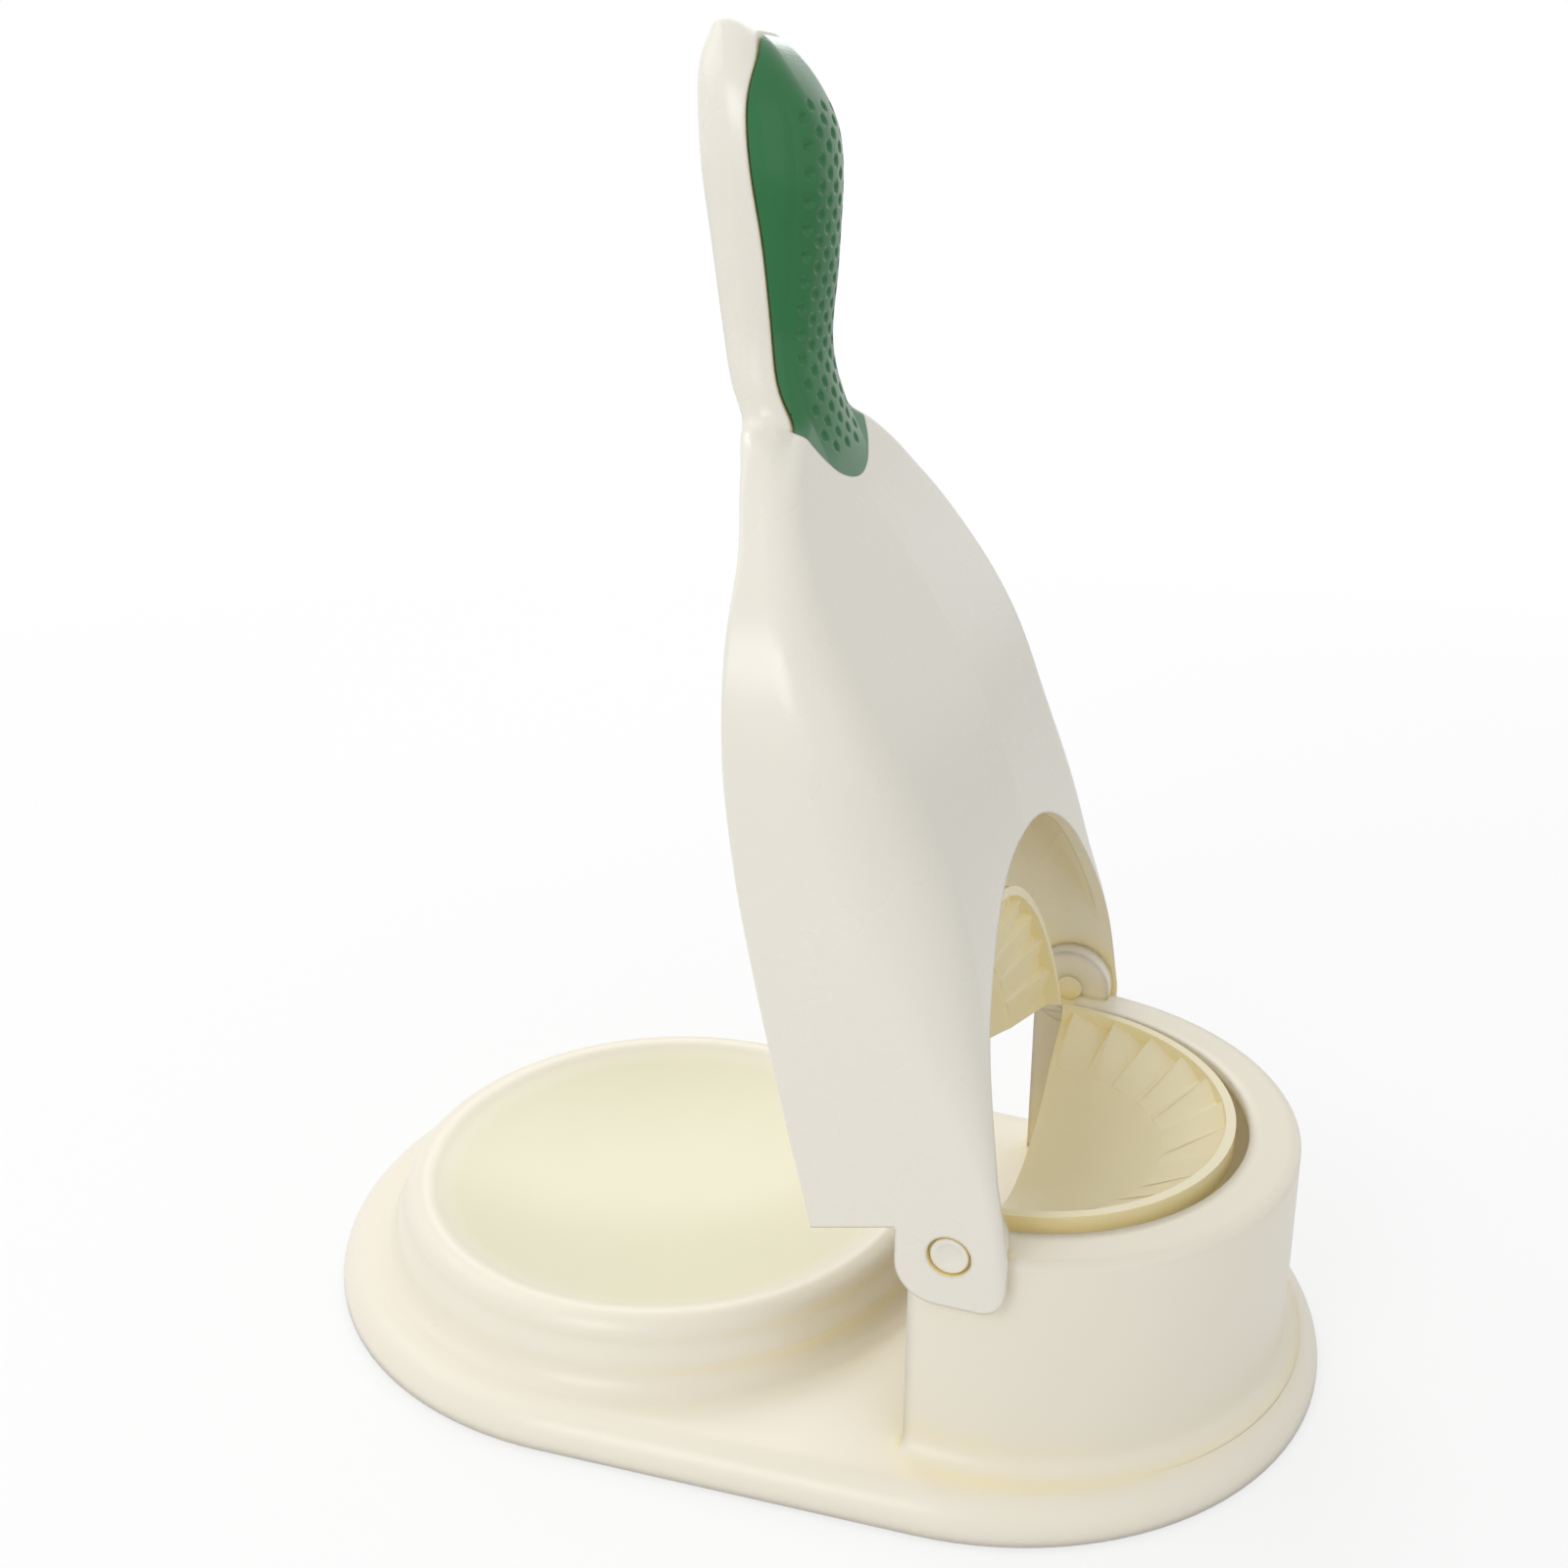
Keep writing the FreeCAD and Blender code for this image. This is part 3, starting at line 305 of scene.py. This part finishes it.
def steepened(place):
    """A point of an open mould, seen from the hinge, moved so that its pleat has one steep side.

    Only points that stand above the cone under the pleats are moved.
    """
    index = round(math.atan2(place.y, place.x) / PLEAT_PITCH)
    own = Matrix.Rotation(-index * PLEAT_PITCH, 3, "Z") @ place
    depth = (own.x - PLEAT_ENDS[0]) / (PLEAT_ENDS[1] - PLEAT_ENDS[0])
    rise = own.z - CONE_ENDS[0] - (CONE_ENDS[1] - CONE_ENDS[0]) * depth
    on_pleat = 0 < depth < 1 and PLEAT_RISE[0] < rise < PLEAT_RISE[1]
    if abs(index) > PLEAT_LAST or not on_pleat:
        return place
    half = own.x * math.tan(PLEAT_PITCH / 2)
    share = min(max((own.y / half + 1) / 2, 0), 1)
    if share < PLEAT_PEAK:
        share *= STEEP_PEAK / PLEAT_PEAK
    else:
        share = 1 - (1 - share) * (1 - STEEP_PEAK) / (1 - PLEAT_PEAK)
    own.y = half * (2 * share - 1)
    own.z += (PLEAT_LIFT - 1) * rise
    return Matrix.Rotation(index * PLEAT_PITCH, 3, "Z") @ own


def mould_piece(node, body, material, to_open):
    """A mould with crisp saw-tooth pleats, made on a copy of the CAD mould.

    to_open turns the mould from its place at rest to that of the lower mould.
    """
    skin = NODES[node].data.copy()
    piece = bpy.data.objects.new(node + "_pleated", skin)
    bpy.context.scene.collection.objects.link(piece)
    form = bmesh.new()
    form.from_mesh(skin)
    bmesh.ops.remove_doubles(form, verts=form.verts, dist=WELD)
    back = to_open.inverted()
    for vertex in form.verts:
        vertex.co = back @ steepened(to_open @ (vertex.co - HINGE)) + HINGE
    bmesh.ops.dissolve_degenerate(form, edges=form.edges, dist=SLIVER)
    bmesh.ops.recalc_face_normals(form, faces=form.faces)
    form.to_mesh(skin)
    form.free()
    if "custom_normal" in skin.attributes:
        skin.attributes.remove(skin.attributes["custom_normal"])
    skin.shade_smooth()
    skin.set_sharp_from_angle(angle=CREASE_ANGLE)
    skin.materials.clear()
    skin.materials.append(material)
    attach(piece, body)
    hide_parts(node)


def grip_piece(material):
    """The grip with its rows of round dimples, on a fine skin over the CAD grip."""
    source = NODES["grip_insert"]
    piece = bpy.data.objects.new("grip_dimpled", source.data.copy())
    bpy.context.scene.collection.objects.link(piece)
    remesh = piece.modifiers.new("fine_skin", "REMESH")
    remesh.mode = "SHARP"
    remesh.octree_depth = GRIP_DEPTH
    remesh.scale = GRIP_FILL
    remesh.use_remove_disconnected = False
    bpy.context.view_layer.update()
    graph = bpy.context.evaluated_depsgraph_get()
    skin = bpy.data.meshes.new_from_object(piece.evaluated_get(graph))
    piece.modifiers.clear()
    piece.data = skin
    crown(skin)
    press_dimples(skin)
    skin.shade_smooth()
    skin.set_sharp_from_angle(angle=SHARP_ANGLE)
    skin.materials.clear()
    skin.materials.append(material)
    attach(piece, "lever")
    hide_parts("grip_insert")


def crown(skin):
    """Rounds the front of the grip across its width, running out towards both ends."""
    low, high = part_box("grip_insert")
    for vertex in skin.vertices:
        end = min(vertex.co.z - low.z, high.z - vertex.co.z) / CROWN_FADE
        end = min(max(end, 0), 1)
        across = max(1 - (vertex.co.y / CROWN_HALF) ** 2, 0)
        vertex.co.x += GRIP_CROWN * across * end * end * (3 - 2 * end)


def dimple_places(skin):
    """Dimple centres on the front of the grip: staggered rows that follow its length."""
    low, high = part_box("grip_insert")
    faces = [polygon.vertices for polygon in skin.polygons]
    tree = BVHTree.FromPolygons([vertex.co for vertex in skin.vertices], faces)
    places = []
    z = low.z + DIMPLE_LOW
    line = 0
    while z < high.z - DIMPLE_HIGH:
        for index in range(-DIMPLE_ROWS, DIMPLE_ROWS + 1):
            if (index + line) % 2:
                continue
            y = index * DIMPLE_ROW
            start = Vector((high.x + RAY_START, y, z))
            hit, normal, *_ = tree.ray_cast(start, Vector((-1, 0, 0)))
            if hit:
                places.append((hit, normal))
        z += DIMPLE_STEP
        line += 1
    return places


def press_dimples(skin):
    """Moves the skin inwards round each dimple centre."""
    places = dimple_places(skin)
    tree = KDTree(len(places))
    for index, (centre, _) in enumerate(places):
        tree.insert(centre, index)
    tree.balance()
    for vertex in skin.vertices:
        _, index, reach = tree.find(vertex.co)
        if reach < DIMPLE_RADIUS:
            share = 1 - (reach / DIMPLE_RADIUS) ** 2
            vertex.co -= places[index][1] * DIMPLE_DEPTH * share


def floor():
    """A wide pale floor with the object's soft shadow, white further out and clear from below."""
    mesh = bpy.data.meshes.new("floor")
    signs = ((-1, -1), (1, -1), (1, 1), (-1, 1))
    corners = [(x * FLOOR_HALF, y * FLOOR_HALF, FLOOR_Z) for x, y in signs]
    mesh.from_pydata(corners, [], [(0, 1, 2, 3)])
    plane = bpy.data.objects.new("floor", mesh)
    bpy.context.scene.collection.objects.link(plane)
    material, nodes, links, shader = node_tree("floor_white")
    shader.inputs["Base Color"].default_value = (*FLOOR_WHITE, 1)
    shader.inputs["Roughness"].default_value = FLOOR_ROUGHNESS
    shader.inputs["Specular IOR Level"].default_value = 0.0
    lift = nodes.new("ShaderNodeEmission")
    lift.inputs["Strength"].default_value = 1.0
    path = nodes.new("ShaderNodeLightPath")
    blend = nodes.new("ShaderNodeMixShader")
    place = nodes.new("ShaderNodeTexCoord")
    reach = nodes.new("ShaderNodeVectorMath")
    reach.operation = "LENGTH"
    links.new(place.outputs["Object"], reach.inputs[0])
    lifted = ranged(nodes, links, reach.outputs["Value"], *LIFT_REACH, *LIFT_SHARE)
    seen = nodes.new("ShaderNodeMath")
    seen.operation = "MULTIPLY"
    links.new(path.outputs["Is Camera Ray"], seen.inputs[0])
    links.new(lifted, seen.inputs[1])
    links.new(seen.outputs["Value"], blend.inputs["Fac"])
    links.new(shader.outputs["BSDF"], blend.inputs[1])
    links.new(lift.outputs["Emission"], blend.inputs[2])
    clear = nodes.new("ShaderNodeBsdfTransparent")
    side = nodes.new("ShaderNodeNewGeometry")
    both = nodes.new("ShaderNodeMixShader")
    links.new(side.outputs["Backfacing"], both.inputs["Fac"])
    links.new(blend.outputs["Shader"], both.inputs[1])
    links.new(clear.outputs["BSDF"], both.inputs[2])
    links.new(both.outputs["Shader"], nodes["Material Output"].inputs["Surface"])
    mesh.materials.append(material)


def world():
    """Even white surroundings: full white to the camera, gentle light on the object."""
    scene_world = bpy.data.worlds.new("studio")
    bpy.context.scene.world = scene_world
    scene_world.use_nodes = True
    nodes, links = scene_world.node_tree.nodes, scene_world.node_tree.links
    backdrop = nodes["Background"]
    backdrop.inputs["Color"].default_value = (1, 1, 1, 1)
    path = nodes.new("ShaderNodeLightPath")
    seen = path.outputs["Is Camera Ray"]
    for kind in ("Is Glossy Ray", "Is Transmission Ray"):
        both = nodes.new("ShaderNodeMath")
        both.operation = "MAXIMUM"
        links.new(seen, both.inputs[0])
        links.new(path.outputs[kind], both.inputs[1])
        seen = both.outputs["Value"]
    strength = ranged(nodes, links, seen, 0, 1, WORLD_LIGHT, WORLD_SEEN)
    links.new(strength, backdrop.inputs["Strength"])


def aimed(name, data, place, target):
    """An object for a lamp or camera at a place in millimetres, aimed at a point."""
    holder = bpy.data.objects.new(name, data)
    holder.location = Vector(place) * MM
    aim = Vector(target) - Vector(place)
    holder.rotation_euler = aim.to_track_quat("-Z", "Y").to_euler()
    bpy.context.scene.collection.objects.link(holder)
    return holder


def softbox(name, place, side, power):
    """A square area lamp, sizes in millimetres."""
    lamp = bpy.data.lights.new(name, "AREA")
    lamp.shape = "SQUARE"
    lamp.size = side * MM
    lamp.energy = power
    aimed(name, lamp, place, LAMP_TARGET)


def camera():
    """The camera of the photograph."""
    data = bpy.data.cameras.new("camera")
    data.lens = CAMERA_LENS
    data.sensor_width = CAMERA_SENSOR
    data.clip_start = 10 * MM
    bpy.context.scene.camera = aimed("camera", data, CAMERA_PLACE, CAMERA_TARGET)


base_ivory = moulded_plastic("base_ivory", IVORY, PAINTED_BOUNCE_IVORY, 0.30, 4 * MM, DISH_PAINTED_SHADE, True)
dress(base_ivory, "base_shell")
# The moulds' ivory is partly their own colour, partly painted warm bounce light
mould_ivory_and_bounce = moulded_plastic("mould_ivory_and_bounce", MOULD_IVORY_AND_BOUNCE, PAINTED_BOUNCE_IVORY, 0.34, 0)
dress(mould_ivory_and_bounce, "lower_mould", "upper_mould")
opened = Matrix.Rotation(math.pi, 3, "Z") @ Matrix.Rotation(-LEVER_LEAN, 3, "Y")
mould_piece("lower_mould", "base", mould_ivory_and_bounce, Matrix.Identity(3))
mould_piece("upper_mould", "lever", mould_ivory_and_bounce, opened)
lever_white = moulded_plastic("lever_white", OFF_WHITE, PAINTED_BOUNCE_IVORY, 0.28, 1 * MM)
dress(lever_white, "lever_shell", "press_plate")
pin_ivory = moulded_plastic("pin_ivory", OFF_WHITE, PAINTED_BOUNCE_IVORY, 0.33, 0.5 * MM)
dress(pin_ivory, "pivot_pin_near", "pivot_pin_far")
dress(rubber(), "foot_dish_near", "foot_dish_far", "foot_drum_near", "foot_drum_far")
dress(steel(), "lower_mould_screws", "press_plate_screws", "upper_mould_screws")
grip_piece(grip_plastic())

floor()
world()
for name, place, side, power in LAMPS:
    softbox(name, place, side, power)
camera()

bpy.context.scene.view_settings.view_transform = "Standard"
